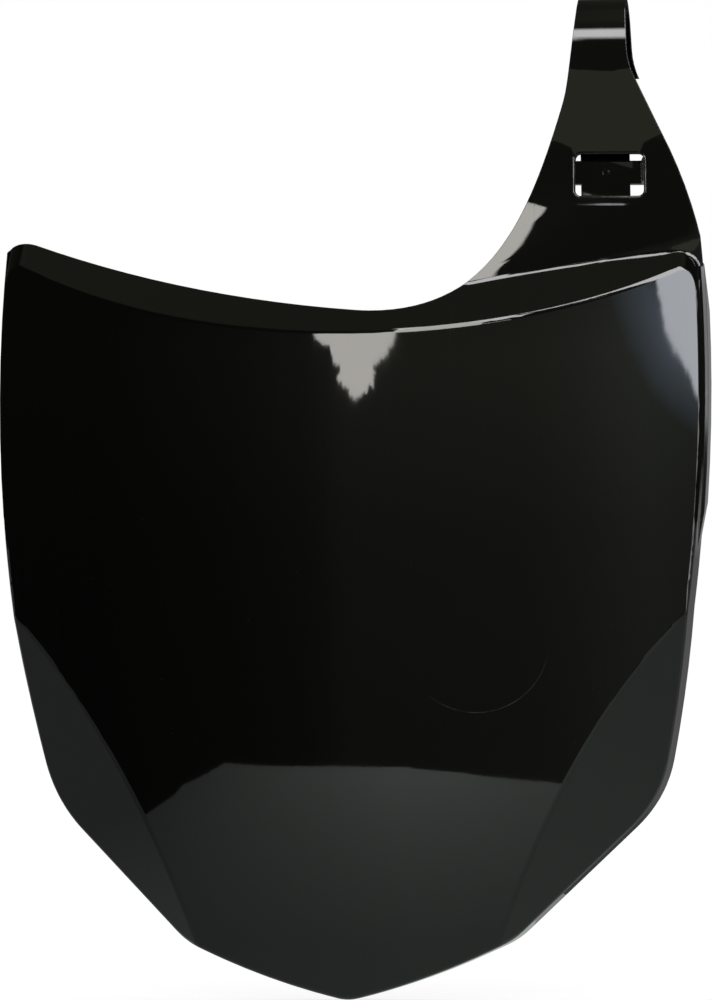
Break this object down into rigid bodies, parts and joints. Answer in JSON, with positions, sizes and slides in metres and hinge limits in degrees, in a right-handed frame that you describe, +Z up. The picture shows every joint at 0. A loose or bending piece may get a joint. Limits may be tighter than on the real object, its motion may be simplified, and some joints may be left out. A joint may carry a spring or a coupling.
{
  "type": "racing number board",
  "caption": "Bowed shield-shaped number board for an off-road motorbike, moulded in one piece with a side arm, a bar hook, a strap window and a rear locating socket.",
  "frame": {"origin": "centre of the mouth of the locating socket on the back of the board", "axes": "+X to the side that carries the arm (right as seen from the front), +Y from the face to the back along the socket, +Z up towards the hook"},
  "size_m": [0.2504, 0.071, 0.3493],
  "materials": {
    "black_plastic": "gloss moulded black"
  },
  "bodies": {
    "root": {"number_board": "black_plastic"}
  },
  "joints": []
}
